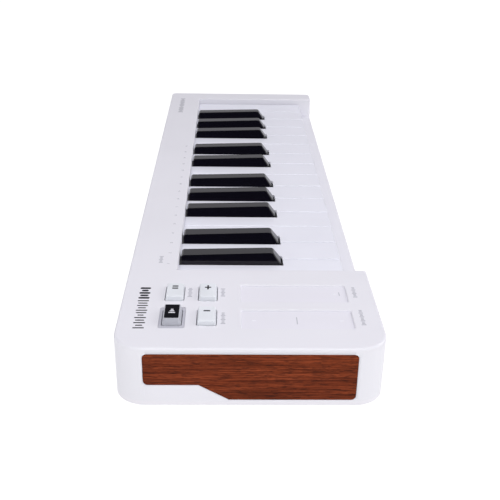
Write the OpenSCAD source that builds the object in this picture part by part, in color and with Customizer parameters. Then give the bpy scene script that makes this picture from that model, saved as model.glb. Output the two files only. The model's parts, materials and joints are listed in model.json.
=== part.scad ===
// Compact 25-key controller keyboard with slim keys, four soft buttons and two touch strips.
// Frame: origin under the middle of the case on the surface it stands on,
// +X to the player's right, +Y to the rear, +Z up. Millimetres.

/* [Case] */
// Length of the case, left to right
case_l = 355; // [354:0.5:356]
// Depth of the case, front to rear
case_w = 103; // [102.8:0.1:104]
// Height of the deck above the underside
case_h = 25.1; // [25:0.1:26]
// Plan radius of the two left corners
left_corner_r = 11.8; // [10:0.2:12]
// Plan radius of the two right corners
right_corner_r = 3; // [2.6:0.2:4]
// Thickness of the outer walls
wall = 2.4; // [2:0.1:2.6]
// Thickness of the deck
deck_t = 2; // [1.8:0.1:2.2]
// Height of the rubber feet below the underside
foot_h = 1.8; // [1:0.1:3]

/* [Key well] */
// Length of the control panel to the left of the keys
left_cheek_l = 63.45; // [63:0.05:63.6]
// Rear edge of the key well
well_rear_y = 30.6; // [30.4:0.1:31]
// Drop from the deck to the white key tops
key_drop = 4; // [3.8:0.1:4.2]
// Drop from the deck to the ledge in front of the keys
ledge_drop = 13.2; // [12.8:0.1:13.4]

/* [Keys] */
// Distance from one white key to the next
key_pitch = 18.42; // [18.38:0.01:18.46]
// Gap between neighbouring white keys
key_gap = 0.6; // [0.5:0.05:0.7]
// Gap between a black key and the white keys on either side
black_gap = 0.3; // [0.3:0.05:0.4]
// Front face of the white keys
white_front_y = -42.9; // [-43:0.1:-42.6]
// Front foot of the black keys
black_front_y = -15.4; // [-15.6:0.1:-15.2]
// Width of a black key at its foot
black_w = 9.1; // [9:0.1:9.2]
// Width of a black key along its top
black_top_w = 5.3; // [5:0.1:6]
// How far a key turns when it is pressed, in degrees
key_angle = 4.8; // [4:0.1:4.8]

/* [Controls] */
// Length of a button cap, left to right
cap_l = 12; // [11.6:0.1:12.2]
// Depth of a button cap, front to rear
cap_w = 7.4; // [7:0.1:7.6]
// Height of a cap above the deck
cap_rise = 2; // [1.5:0.1:2.6]
// Height of the shift cap above the deck
shift_rise = 3; // [2.5:0.1:3.2]
// Depth of the touch strip recesses
strip_recess = 0.75; // [0.5:0.05:0.9]

/* [Sockets] */
// Radius of the pedal jack's bore
jack_r = 3.25; // [3.2:0.01:3.3]

/* [Hidden] */
$fn = 48;
eps = 0.01;
WHITE_NOTES = ["c1", "d1", "e1", "f1", "g1", "a1", "b1", "c2", "d2", "e2", "f2", "g2", "a2", "b2", "c3"];
BLACK_NOTES = ["cs1", "ds1", "fs1", "gs1", "as1", "cs2", "ds2", "fs2", "gs2", "as2"];

// ---- levels ----
under_z = foot_h;
parting_z = under_z + 1.6;
floor_z = under_z + 2;
deck_z = under_z + case_h;
ceiling_z = deck_z - deck_t;
white_top_z = deck_z - key_drop;
ledge_z = deck_z - ledge_drop;

// ---- plan of the case ----
left_x = -case_l / 2;
right_x = case_l / 2;
rear_y = case_w / 2;
front_y = -rear_y;
side_gap = 0.25;
well_x0 = left_x + left_cheek_l;
keys_x0 = well_x0 + side_gap;
keys_x1 = keys_x0 + 15 * key_pitch;
well_x1 = keys_x1 + side_gap;
ledge_rear_y = white_front_y - 0.5;
web_t = 2;

// ---- keys ----
white_skin = 1.5;
black_skin = 1.3;
key_top_t = 2;
nose_relief_t = 1.4;
white_bottom_z = 12;
key_bottom_z = 14.5;
key_rear_y = 33;
black_rear_y = 29.8;
black_rear_clip = 0.9;
black_rear_rise = 4.2;
black_front_rise = 5.4;
black_nose_y = -11.8;
black_toe = 0.28;
step_gap = 0.85;
bar_y0 = -22.7;
bar_y1 = -15.5;
bar_z0 = 12.5;
bar_z1 = 14.7;
notch_y0 = -26;
notch_y1 = -14;
notch_z = 20.2;
hook_w = 3;
hook_t = 1.5;
hook_foot_z = 11.6;
white_hook_y = -25.5;
black_hook_y = -13.4;
white_foot_z = 10;
black_foot_z = 9.45;
actuator_y = 7.5;
actuator_t = 3;
actuator_z = 14;

// ---- pivot ----
pivot_y = 40;
pivot_z = 17;
rod_r = 1.5;
running_gap = 0.05;
hub_r = 3.6;
white_tail_w = 7;
black_tail_w = 6.4;
tail_front_y = 26;
tail_top_z = 20.6;

// ---- keybed frame ----
comb_t = 1.8;
comb_y0 = 35.6;
rail_y0 = 44.2;
rail_y1 = 48.9;
rail_z1 = 20.5;
stringer_t = 2;
stringer_z1 = 8;
stringer_low_z1 = 4.9;
seat_y0 = 28.5;
seat_y1 = 33.5;
seat_z1 = 9.8;
guide_y0 = -36;
guide_y1 = -33.5;
guide_rail_z1 = 5.2;
guide_z1 = 14.4;
guide_gap = 0.3;
felt_t = 0.8;
lower_felt_t = 0.6;
lower_felt_y0 = -26;
lower_felt_y1 = -14;

// ---- contacts and springs ----
contact_y0 = 2;
contact_y1 = 24;
board_t = 1.6;
dome_sheet_t = 0.8;
dome_top_z = 13.9;
dome_y = actuator_y + actuator_t / 2;
spring_r = 2.2;
spring_y = (seat_y0 + seat_y1) / 2;
spring_turns = 5;
spring_wire = 0.45;

// ---- left panel ----
column_x = [left_x + 22.2, left_x + 41.4];
row_y = [16.85, 30.3];
strip_w = 14;
strip_y0 = -40.1;
strip_y1 = 3.4;
strip_t = 0.6;
strip_x = [left_x + 21.4, left_x + 42.1];
button_travel = 0.8;
cap_gap = 0.3;
cap_r = 0.8;
cap_lean = 0.45;
shift_lean = 0.65;
flange_t = 1.3;
flange_rim = 0.9;
flange_drop = 0.22;
stem_r = 2;
stem_z = 21.7;
panel_board_z = 17.6;
panel_board_x = [left_x + 9, left_x + 57.5];
panel_board_y = [8, 37.6];
pillar_x = [left_x + 11.5, left_x + 55];
pillar_y = [11, 35];
bezel_l = 15.9;
bezel_w = 9.9;
bezel_t = 0.8;

// ---- main board and sockets ----
main_z = 5.4;
main_x = [left_x + 17.5, left_x + 58.5];
main_y = [0, 48];
main_posts = [[left_x + 20, 3], [left_x + 56, 3], [left_x + 20, 45]];
usb_x = left_x + 29;
usb_w = 8.94;
usb_h = 3.26;
usb_l = 9;
jack_x = left_x + 45.5;
jack_body = [14, 23, 10.2];
jack_z = main_z + board_t + jack_body[2] / 2;
jack_nose_r = 4.6;
jack_depth = 22;

// ---- screws ----
screw_r = 1;
head_r = 2.2;
head_t = 1.4;
boss_r = 3;
corner_posts = [[left_x + 12.5, -41], [left_x + 12.5, 41], [left_x + 56.5, -44],
                [right_x - 8.2, -44], [right_x - 8.2, 44]];
ledge_posts = [[-60, -46.4], [24, -46.4], [108, -46.4]];
ledge_boss_r = 2.3;
rail_posts = [[-96, 46.2], [24, 46.2], [144, 46.2]];
seat_posts = [[-80, spring_y], [0, spring_y], [80, spring_y], [140, spring_y]];
feet_xy = [[left_x + 22, -38], [left_x + 22, 38], [right_x - 18, -38], [right_x - 18, 38]];
foot_r = 5;
foot_seat = 0.6;

// ---- wood inlay, as (y, z) ----
wood_t = 1.6;
wood_gap = 0.1;
wood_r = 1.8;
wood_y = [-39.9, 40.1];
wood_top_z = deck_z - 2.6;
wood_low_z = under_z + 2.4;
wood_step_z = under_z + 9;
wood_step_y = 19.5;
wood_slope_y = wood_step_y - (wood_step_z - wood_low_z) / tan(30);

// =========================== key layout ===========================
// Centre of the black key at white-key boundary k, in pitches from the octave's first C
BLACK_AT = [0, 0.898, 2.097, 0, 3.843, 5, 6.143];
BOUNDARIES = [for (k = [1:14]) if (has_black(k)) k];

function has_black(k) = k > 0 && k < 15 && BLACK_AT[k % 7] > 0;
function black_x(k) = keys_x0 + (7 * floor(k / 7) + BLACK_AT[k % 7]) * key_pitch;
function white_x(w) = keys_x0 + w * key_pitch;
function white_neck_x0(w) =
    has_black(w) ? black_x(w) + black_w / 2 + black_gap : white_x(w) + key_gap / 2;
function white_neck_x1(w) =
    has_black(w + 1) ? black_x(w + 1) - black_w / 2 - black_gap : white_x(w + 1) - key_gap / 2;
function white_tail_x(w) = (white_neck_x0(w) + white_neck_x1(w)) / 2;

// Tail centres of all 25 keys, left to right
TAILS = [for (w = [0:14])
    each has_black(w + 1) ? [white_tail_x(w), black_x(w + 1)] : [white_tail_x(w)]];
COMBS = concat([TAILS[0] - 4.9],
               [for (i = [0:23]) (TAILS[i] + TAILS[i + 1]) / 2],
               [TAILS[24] + 4.9]);
// Boundaries with no black key, where the frame's stringers run
STRINGERS = concat([keys_x0 + stringer_t / 2],
                   [for (k = [3, 7, 10]) white_x(k)],
                   [white_x(14), keys_x1 - stringer_t / 2]);

// =========================== shared shapes ===========================
module block(x, y, z) {
    translate([x[0], y[0], z[0]]) cube([x[1] - x[0], y[1] - y[0], z[1] - z[0]]);
}

module post(p, r, z0, z1) {
    translate([p[0], p[1], z0]) cylinder(r = r, h = z1 - z0);
}

// Plan of the case, drawn in by inset all round
module case_plan(inset) {
    ra = left_corner_r - inset;
    rb = max(right_corner_r - inset, 0.4);
    x0 = left_x + inset;
    x1 = right_x - inset;
    y1 = rear_y - inset;
    translate([x0 + ra, -y1]) square([x1 - rb - x0 - ra, 2 * y1]);
    translate([x0, ra - y1]) square([ra + eps, 2 * (y1 - ra)]);
    translate([x1 - rb - eps, rb - y1]) square([rb + eps, 2 * (y1 - rb)]);
    for (s = [-1, 1]) {
        translate([x0 + ra, s * (y1 - ra)]) circle(r = ra);
        translate([x1 - rb, s * (y1 - rb)]) circle(r = rb);
    }
}

module case_slab(inset, z0, z1) {
    translate([0, 0, z0]) linear_extrude(height = z1 - z0) case_plan(inset);
}

// A rounded rectangle, centred on (x, y), from z0 to z1
module pill(x, y, l, w, r, z0, z1) {
    for (s = [-1, 1])
        translate([x + s * (l / 2 - r), y, 0]) {
            block([-r, r], [r - w / 2, w / 2 - r], [z0, z1]);
            for (t = [-1, 1])
                post([0, t * (w / 2 - r)], r, z0, z1);
        }
    block([x + r - l / 2, x + l / 2 - r], [y - w / 2, y + w / 2], [z0, z1]);
}

// An arc from angle a to angle b about (cy, cz)
function arc(cy, cz, r, a, b) = [for (i = [0:8]) [cy + r * cos(a + (b - a) * i / 8), cz + r * sin(a + (b - a) * i / 8)]];

// Side view of the wood inlay, grown by grow all round
module wood_outline(grow) {
    r = wood_r + grow;
    y0 = wood_y[0] - grow;
    y1 = wood_y[1] + grow;
    z0 = wood_low_z - grow;
    z1 = wood_top_z + grow;
    zs = wood_step_z - grow;
    lean = grow * tan(15);
    polygon(concat(
        arc(y0 + r, z0 + r, r, 180, 270),
        [[wood_slope_y + lean, z0], [wood_step_y + lean, zs]],
        arc(y1 - r, zs + r, r, 270, 360),
        arc(y1 - r, z1 - r, r, 0, 90),
        arc(y0 + r, z1 - r, r, 90, 180)));
}

// The inlay stood up in the (y, z) plane, from x0 to x1
module wood_slab(grow, x0, x1) {
    translate([x0, 0, 0]) rotate([90, 0, 90]) linear_extrude(height = x1 - x0) wood_outline(grow);
}

// =========================== case ===========================
module shell() {
    difference() {
        case_slab(0, parting_z, deck_z);
        case_slab(wall, parting_z - 1, ceiling_z);
        block([well_x0, well_x1], [front_y - 1, well_rear_y], [ledge_z, deck_z + 1]);
    }
}

// Walls that close the two cheeks, the lip over the key tails and the front ledge
module well_walls() {
    for (x = [well_x0 - web_t, well_x1])
        block([x, x + web_t], [front_y + wall - eps, well_rear_y + 1.6], [11, ceiling_z + eps]);
    block([well_x0 - eps, well_x1 + eps], [well_rear_y, well_rear_y + 1.6],
          [white_top_z + 0.4, ceiling_z + eps]);
    block([well_x0 - web_t, well_x1 + web_t], [front_y + wall - eps, ledge_rear_y],
          [ledge_z - 2, ledge_z]);
}

module end_pads() {
    for (x = [[left_x + wood_t, left_x + wood_t + 2.2], [right_x - wood_t - 2.2, right_x - wood_t]])
        block(x, [wood_y[0] - 1.6, wood_y[1] + 1.6], [parting_z, ceiling_z + eps]);
}

module case_bosses() {
    for (p = corner_posts)
        post(p, boss_r, floor_z + eps, ceiling_z + eps);
    for (p = ledge_posts)
        post(p, ledge_boss_r, floor_z + eps, ledge_z - 1);
    for (p = rail_posts)
        post(p, 2.6, rail_z1 + 0.05, ceiling_z + eps);
    for (x = pillar_x)
        for (y = pillar_y)
            post([x, y], 2.2, panel_board_z + board_t, ceiling_z + eps);
}

module case_boss_holes() {
    for (p = concat(corner_posts, ledge_posts))
        post(p, screw_r, floor_z - 1, floor_z + 6);
    for (p = rail_posts)
        post(p, screw_r, rail_z1 - 1, ceiling_z - 0.4);
    for (x = pillar_x)
        for (y = pillar_y)
            post([x, y], screw_r, panel_board_z, panel_board_z + board_t + 3.5);
}

module button_openings() {
    l = cap_l + 2 * cap_gap;
    w = cap_w + 2 * cap_gap;
    for (p = [[column_x[0], row_y[0]], [column_x[1], row_y[0]], [column_x[1], row_y[1]],
              [column_x[0], row_y[1]]])
        pill(p[0], p[1], l, w, cap_r + cap_gap, ceiling_z - 1, deck_z + 1);
    pill(column_x[0], row_y[1], bezel_l + 0.2, bezel_w + 0.2, 1, deck_z - bezel_t - 0.1, deck_z + 1);
}

module strip_recesses() {
    for (x = strip_x)
        pill(x, (strip_y0 + strip_y1) / 2, strip_w, strip_y1 - strip_y0, 0.8,
             deck_z - strip_recess - strip_t, deck_z + 1);
}

module socket_openings() {
    z = main_z + board_t + usb_h / 2;
    block([usb_x - usb_w / 2 - 0.4, usb_x + usb_w / 2 + 0.4], [rear_y - wall - 1, rear_y + 1],
          [z - usb_h / 2 - 0.4, z + usb_h / 2 + 0.4]);
    translate([jack_x, rear_y - wall - 1, jack_z]) rotate([-90, 0, 0])
        cylinder(r = jack_nose_r + 0.1, h = wall + 2);
}

module top_case() {
    color([0.89, 0.88, 0.93]) difference() {
        union() {
            shell();
            well_walls();
            end_pads();
            case_bosses();
        }
        case_boss_holes();
        button_openings();
        strip_recesses();
        socket_openings();
        wood_slab(wood_gap, left_x - 1, left_x + wood_t);
        wood_slab(wood_gap, right_x - wood_t, right_x + 1);
    }
}

module bottom_case() {
    color([0.86, 0.86, 0.9]) difference() {
        union() {
            case_slab(0, under_z, parting_z);
            case_slab(wall + 2, parting_z - eps, floor_z);
            difference() {
                case_slab(wall + 2, floor_z - eps, floor_z + 1.2);
                case_slab(wall + 3.2, floor_z - 1, floor_z + 2);
                block([-115, 165], [front_y, rear_y], [floor_z, floor_z + 2]);
                for (p = corner_posts)
                    post(p, boss_r + 0.3, floor_z, floor_z + 2);
            }
            for (p = main_posts)
                post(p, 2.5, floor_z - eps, main_z);
        }
        for (p = concat(corner_posts, ledge_posts, rail_posts, seat_posts)) {
            post(p, screw_r, under_z - 1, floor_z + 1);
            post(p, head_r + 0.1, under_z - 1, under_z + head_t);
        }
        for (p = main_posts)
            post(p, screw_r, floor_z - 1, main_z + 1);
        for (p = feet_xy)
            post(p, foot_r + 0.05, under_z - 1, under_z + foot_seat);
    }
}

module left_wood_panel() {
    color([0.45, 0.21, 0.13]) wood_slab(0, left_x, left_x + wood_t);
}

module right_wood_panel() {
    color([0.45, 0.21, 0.13]) wood_slab(0, right_x - wood_t, right_x);
}

module rubber_feet() {
    color([0.12, 0.12, 0.13])
        for (p = feet_xy)
            post(p, foot_r, 0, under_z + foot_seat);
}

// =========================== keybed ===========================
module stringers() {
    for (x = STRINGERS) {
        x_span = [x - stringer_t / 2, x + stringer_t / 2];
        block(x_span, [guide_y0, -24], [floor_z, stringer_low_z1]);
        block(x_span, [-24 - eps, rail_y0 + 1], [floor_z, stringer_z1]);
        block(x_span, [bar_y0, bar_y1], [floor_z, bar_z0 + 1]);
    }
}

module guide_fingers() {
    for (w = [0:14])
        block([white_x(w) + key_gap / 2 + white_skin + guide_gap,
               white_x(w + 1) - key_gap / 2 - white_skin - guide_gap],
              [guide_y0, guide_y1], [floor_z, guide_z1]);
}

module comb_ribs() {
    for (x = COMBS)
        block([x - comb_t / 2, x + comb_t / 2], [comb_y0, rail_y0 + 1], [floor_z, rail_z1]);
}

module keybed_frame() {
    x_span = [keys_x0, keys_x1];
    color([0.3, 0.31, 0.33]) difference() {
        union() {
            stringers();
            guide_fingers();
            comb_ribs();
            block(x_span, [rail_y0, rail_y1], [floor_z, rail_z1]);
            block(x_span, [seat_y0, seat_y1], [floor_z, seat_z1]);
            block(x_span, [bar_y0, bar_y1], [bar_z0, bar_z1]);
            block(x_span, [guide_y0, guide_y1], [floor_z, guide_rail_z1]);
        }
        rod_hole(rod_r, left_x, right_x);
        for (p = rail_posts)
            post(p, screw_r, floor_z - 1, rail_z1 + 1);
        for (p = seat_posts)
            post(p, screw_r, floor_z - 1, floor_z + 5);
    }
}

module rod_hole(r, x0, x1) {
    translate([x0, pivot_y, pivot_z]) rotate([0, 90, 0]) cylinder(r = r, h = x1 - x0);
}

module pivot_rod() {
    color([0.75, 0.76, 0.78]) rod_hole(rod_r, COMBS[0] - comb_t / 2, COMBS[25] + comb_t / 2);
}

module upper_felt() {
    color([0.55, 0.12, 0.12]) difference() {
        block([keys_x0, keys_x1], [bar_y0, bar_y1], [bar_z0 - felt_t, bar_z0]);
        for (x = STRINGERS)
            block([x - 1.1, x + 1.1], [bar_y0 - 1, bar_y1 + 1], [bar_z0 - 2, bar_z0 + 1]);
    }
}

module lower_felt() {
    color([0.55, 0.12, 0.12]) difference() {
        block([keys_x0, keys_x1], [lower_felt_y0, lower_felt_y1], [floor_z, floor_z + lower_felt_t]);
        for (x = STRINGERS)
            block([x - 1.1, x + 1.1], [lower_felt_y0 - 1, lower_felt_y1 + 1],
                  [floor_z - 1, floor_z + 2]);
    }
}

// Coil envelope: a ribbed tube whose ribs stand for the turns
module spring_tube(h) {
    step = h / (2 * spring_turns);
    outer = [for (i = [0:2 * spring_turns]) [spring_r - (i % 2) * spring_wire, i * step]];
    inner = [for (i = [2 * spring_turns:-1:0]) [spring_r - spring_wire - (i % 2) * spring_wire, i * step]];
    rotate_extrude() polygon(concat(outer, inner));
}

module key_springs() {
    color([0.8, 0.8, 0.82])
        for (x = TAILS)
            translate([x, spring_y, seat_z1]) spring_tube(key_bottom_z - seat_z1);
}

module contact_board() {
    color([0.1, 0.35, 0.2])
        block([keys_x0, keys_x1], [contact_y0, contact_y1], [stringer_z1, stringer_z1 + board_t]);
}

module contact_domes() {
    z0 = stringer_z1 + board_t;
    color([0.8, 0.8, 0.82]) {
        block([keys_x0 + 6, keys_x1 - 2], [dome_y - 4, dome_y + 4], [z0, z0 + dome_sheet_t]);
        for (x = TAILS)
            translate([x, dome_y, z0 + dome_sheet_t - eps])
                cylinder(r1 = 2.6, r2 = 1.7, h = dome_top_z - z0 - dome_sheet_t + eps);
    }
}

// Hub and bored tail that hang a key on the rod
module tail(x, w) {
    block([x - w / 2, x + w / 2], [tail_front_y, pivot_y], [key_bottom_z, tail_top_z]);
    rod_hole(hub_r, x - w / 2, x + w / 2);
}

module hook(x, y0, y1, foot_y0, foot_y1, foot_z, top_z) {
    x_span = [x - hook_w / 2, x + hook_w / 2];
    block(x_span, [y0, y1], [foot_z, top_z]);
    block(x_span, [foot_y0, foot_y1], [foot_z, hook_foot_z]);
}

module white_shell(w) {
    front_x = [white_x(w) + key_gap / 2, white_x(w + 1) - key_gap / 2];
    neck_x = [white_neck_x0(w), white_neck_x1(w)];
    step_y = black_front_y - step_gap;
    under_top = white_top_z - key_top_t;
    difference() {
        union() {
            block(front_x, [white_front_y, step_y], [white_bottom_z, white_top_z]);
            block(neck_x, [step_y - 3, key_rear_y], [key_bottom_z, white_top_z]);
        }
        block(front_x + [white_skin, -white_skin], [white_front_y + white_skin, step_y - 1.2],
              [0, under_top]);
        block(neck_x + [black_skin, -black_skin], [step_y - 6, tail_front_y], [0, under_top]);
        block([front_x[0] - 1, front_x[1] + 1], [notch_y0, notch_y1], [0, notch_z]);
        block([front_x[0] - 1, front_x[1] + 1], [step_y, notch_y1], [0, white_top_z - nose_relief_t]);
    }
    block([neck_x[0] + 1, neck_x[1] - 1], [actuator_y, actuator_y + actuator_t],
          [actuator_z, under_top + eps]);
}

module white_key(w) {
    x = (white_x(w) + white_x(w + 1)) / 2;
    color([0.9, 0.9, 0.93]) difference() {
        union() {
            white_shell(w);
            tail(white_tail_x(w), white_tail_w);
            hook(x, white_hook_y, white_hook_y + hook_t, white_hook_y, -19.8,
                 white_foot_z, white_top_z - 1);
        }
        rod_hole(rod_r + running_gap, left_x, right_x);
    }
}

// Side view of a black key as (y, z): steep nose, top that falls a little to the rear, clipped rear
module black_profile() {
    z = white_top_z;
    polygon([[black_front_y, notch_z + 0.4],
             [black_front_y, z + black_toe],
             [black_nose_y, z + black_front_rise],
             [black_rear_y - black_rear_clip, z + black_rear_rise],
             [black_rear_y, z + black_rear_rise - black_rear_clip],
             [black_rear_y, z - 0.1],
             [key_rear_y, z - 0.1],
             [key_rear_y, key_bottom_z],
             [-10.6, key_bottom_z],
             [-10.6, notch_z + 0.4]]);
}

module black_shell(x) {
    z = white_top_z;
    difference() {
        intersection() {
            translate([x - black_w / 2, 0, 0]) rotate([90, 0, 90])
                linear_extrude(height = black_w) black_profile();
            translate([x, key_rear_y + 1, 0]) rotate([90, 0, 0])
                linear_extrude(height = key_rear_y + 1 - black_front_y + 1)
                    polygon([[-black_w / 2, key_bottom_z - 1], [black_w / 2, key_bottom_z - 1],
                             [black_w / 2, z - 0.3], [black_top_w / 2, z + black_front_rise],
                             [-black_top_w / 2, z + black_front_rise], [-black_w / 2, z - 0.3]]);
        }
        block([x - black_w / 2 + black_skin, x + black_w / 2 - black_skin],
              [-9.2, tail_front_y], [0, z]);
    }
    block([x - black_w / 2 + 1, x + black_w / 2 - 1], [actuator_y, actuator_y + actuator_t],
          [actuator_z, z + eps]);
}

module black_key(k) {
    x = black_x(k);
    color([0.05, 0.05, 0.06]) difference() {
        union() {
            black_shell(x);
            tail(x, black_tail_w);
            hook(x, black_hook_y, black_hook_y + hook_t, -19, black_hook_y + hook_t,
                 black_foot_z, notch_z + 1);
        }
        rod_hole(rod_r + running_gap, left_x, right_x);
    }
}

// =========================== left panel ===========================
module touch_strip(x) {
    inset = 0.1;
    z0 = deck_z - strip_recess - strip_t;
    color([0.88, 0.87, 0.92])
        pill(x, (strip_y0 + strip_y1) / 2, strip_w - 2 * inset, strip_y1 - strip_y0 - 2 * inset,
             0.8, z0, z0 + strip_t);
}

module touch_sensor_board() {
    color([0.1, 0.35, 0.2])
        block([left_x + 15.8, left_x + 51], [strip_y0 - 1, strip_y1 + 1.4], [ceiling_z - 1, ceiling_z]);
}

module shift_bezel() {
    color([0.72, 0.72, 0.76]) difference() {
        pill(column_x[0], row_y[1], bezel_l, bezel_w, 1, deck_z - bezel_t - 0.1, deck_z - 0.1);
        pill(column_x[0], row_y[1], cap_l + 2 * cap_gap, cap_w + 2 * cap_gap, cap_r + cap_gap,
             deck_z - bezel_t - 1, deck_z + 1);
    }
}

// A slab whose four sides lean in above the deck, by lean at the top
module leaning_block(l, w, z0, rise, lean) {
    z1 = deck_z + rise;
    intersection() {
        rotate([90, 0, 0]) translate([0, 0, -w]) linear_extrude(height = 2 * w)
            polygon([[-l / 2, z0], [l / 2, z0], [l / 2, deck_z], [l / 2 - lean, z1],
                     [lean - l / 2, z1], [-l / 2, deck_z]]);
        rotate([90, 0, 90]) translate([0, 0, -l]) linear_extrude(height = 2 * l)
            polygon([[-w / 2, z0], [w / 2, z0], [w / 2, deck_z], [w / 2 - lean, z1],
                     [lean - w / 2, z1], [-w / 2, deck_z]]);
    }
}

module button(x, y, rise, lean) {
    z0 = ceiling_z - flange_drop - flange_t;
    intersection() {
        pill(x, y, cap_l, cap_w, cap_r, z0, deck_z + rise);
        translate([x, y, 0]) leaning_block(cap_l, cap_w, z0, rise, lean);
    }
    pill(x, y, cap_l + 2 * flange_rim, cap_w + 2 * flange_rim, 1.5, z0, z0 + flange_t);
    post([x, y], stem_r, stem_z, z0 + eps);
}

module button_board() {
    z = panel_board_z;
    color([0.1, 0.35, 0.2]) difference() {
        block(panel_board_x, panel_board_y, [z, z + board_t]);
        for (x = pillar_x)
            for (y = pillar_y)
                post([x, y], screw_r, z - 1, z + board_t + 1);
    }
}

module button_domes() {
    z = panel_board_z + board_t;
    color([0.8, 0.8, 0.82]) {
        block([column_x[0] - 6.5, column_x[1] + 6.5], [row_y[0] - 3.5, row_y[1] + 3.5], [z, z + 0.8]);
        for (x = column_x)
            for (y = row_y)
                translate([x, y, z + 0.8 - eps])
                    cylinder(r1 = 2.8, r2 = 2, h = stem_z - 0.1 - z - 0.8 + eps);
    }
}

// One lamp per button, just clear of the silicone sheet
module button_lights() {
    z = panel_board_z + board_t;
    color([0.95, 0.95, 0.85])
        for (x = column_x)
            for (y = [row_y[0] - 4.4, row_y[1] + 4.4])
                block([x - 0.8, x + 0.8], [y - 0.4, y + 0.4], [z, z + 0.7]);
}

// =========================== boards and sockets ===========================
module main_board() {
    color([0.1, 0.35, 0.2]) difference() {
        block(main_x, main_y, [main_z, main_z + board_t]);
        for (p = main_posts)
            post(p, screw_r, main_z - 1, main_z + board_t + 1);
    }
}

module controller_chip() {
    z = main_z + board_t;
    color([0.12, 0.12, 0.13])
        block([left_x + 27, left_x + 34], [10, 17], [z, z + 1.2]);
}

module board_connectors() {
    z = main_z + board_t;
    color([0.9, 0.9, 0.85]) {
        block([main_x[1] - 4.5, main_x[1] - 0.5], [8, 20], [z, stringer_z1 + board_t]);
        block([left_x + 21, left_x + 33], [22, 25], [z, z + 2]);
    }
}

module usb_socket() {
    z = main_z + board_t;
    y1 = rear_y - 0.3;
    x_span = [usb_x - usb_w / 2, usb_x + usb_w / 2];
    color([0.75, 0.76, 0.78]) {
        difference() {
            block(x_span, [y1 - usb_l, y1], [z, z + usb_h]);
            block(x_span + [0.3, -0.3], [y1 - usb_l + 0.8, y1 + 1], [z + 0.35, z + usb_h - 0.35]);
        }
        block([usb_x - 3.3, usb_x + 3.3], [y1 - usb_l + 0.5, y1 - 1.2],
              [z + usb_h / 2 - 0.35, z + usb_h / 2 + 0.35]);
    }
}

module pedal_jack() {
    body_y1 = rear_y - wall;
    color([0.1, 0.1, 0.11]) difference() {
        union() {
            block([jack_x - jack_body[0] / 2, jack_x + jack_body[0] / 2],
                  [body_y1 - jack_body[1], body_y1], [main_z + board_t, main_z + board_t + jack_body[2]]);
            translate([jack_x, body_y1 - eps, jack_z]) rotate([-90, 0, 0])
                cylinder(r = jack_nose_r, h = wall - 0.2 + eps);
        }
        translate([jack_x, rear_y - 0.2 - jack_depth, jack_z]) rotate([-90, 0, 0])
            cylinder(r = jack_r, h = jack_depth + 1);
    }
}

// Flat cable from the main board to the contact board
module key_ribbon() {
    z = stringer_z1 + board_t;
    color([0.85, 0.85, 0.85])
        block([main_x[1] - 4.5, keys_x0 + 5], [9, 19], [z, z + 0.6]);
}

// Flat cable from the main board up to the button board, with a bend in it
module panel_ribbon() {
    z0 = main_z + board_t + 2;
    z1 = panel_board_z;
    color([0.85, 0.85, 0.85]) translate([left_x + 22, 0, 0]) rotate([90, 0, 90])
        linear_extrude(height = 10)
            polygon([[23, z0], [23.6, z0], [23.6, z0 + 2], [21.6, z1 - 2], [21.6, z1],
                     [21, z1], [21, z1 - 2], [23, z0 + 2]]);
}

// Flat cable from the touch sensor board back to the button board
module touch_ribbon() {
    z0 = panel_board_z + board_t;
    z1 = ceiling_z - 1;
    color([0.85, 0.85, 0.85]) translate([left_x + 29, 0, 0]) rotate([90, 0, 90])
        linear_extrude(height = 6)
            polygon([[2, z1], [4, z1], [9.4, z0], [8.6, z0], [8.6, z0 + 0.1], [3.6, z1 - 0.6], [2, z1 - 0.6]]);
}

// =========================== screws ===========================
// A pan-head screw driven upwards: head below z, shank up to z + length
module screw_up(p, z, length) {
    post(p, head_r, z - head_t, z);
    post(p, screw_r, z - eps, z + length);
}

module case_screws() {
    color([0.25, 0.25, 0.27])
        for (p = concat(corner_posts, ledge_posts))
            screw_up(p, under_z + head_t, 6);
}

module keybed_screws() {
    color([0.25, 0.25, 0.27]) {
        for (p = rail_posts)
            screw_up(p, under_z + head_t, 20.5);
        for (p = seat_posts)
            screw_up(p, under_z + head_t, 5);
    }
}

module board_screws() {
    color([0.7, 0.7, 0.72]) {
        for (x = pillar_x)
            for (y = pillar_y)
                screw_up([x, y], panel_board_z, 4.5);
        for (p = main_posts) {
            post(p, head_r, main_z + board_t, main_z + board_t + 1.2);
            post(p, screw_r, floor_z - 0.5, main_z + board_t + eps);
        }
    }
}

top_case();
bottom_case();
left_wood_panel();
right_wood_panel();
rubber_feet();
keybed_frame();
pivot_rod();
upper_felt();
lower_felt();
key_springs();
contact_board();
contact_domes();
touch_strip(strip_x[0]);  // left_touch_strip
touch_strip(strip_x[1]);  // right_touch_strip
touch_sensor_board();
shift_bezel();
button_board();
button_domes();
button_lights();
main_board();
controller_chip();
board_connectors();
usb_socket();
pedal_jack();
key_ribbon();
panel_ribbon();
touch_ribbon();
case_screws();
keybed_screws();
board_screws();
for (w = [0:14])
    white_key(w);
for (i = [0:9])
    black_key(BOUNDARIES[i]);
color([0.62, 0.63, 0.68]) button(column_x[0], row_y[1], shift_rise, shift_lean);  // shift_button
color([0.83, 0.85, 0.9]) button(column_x[1], row_y[1], cap_rise, cap_lean);  // hold_button
color([0.83, 0.85, 0.9]) button(column_x[0], row_y[0], cap_rise, cap_lean);  // octave_down_button
color([0.83, 0.85, 0.9]) button(column_x[1], row_y[0], cap_rise, cap_lean);  // octave_up_button
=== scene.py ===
"""Looks of a compact 25-key controller keyboard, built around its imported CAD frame."""
import json
import math

import bmesh
import bpy
from mathutils import Matrix, Vector

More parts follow.
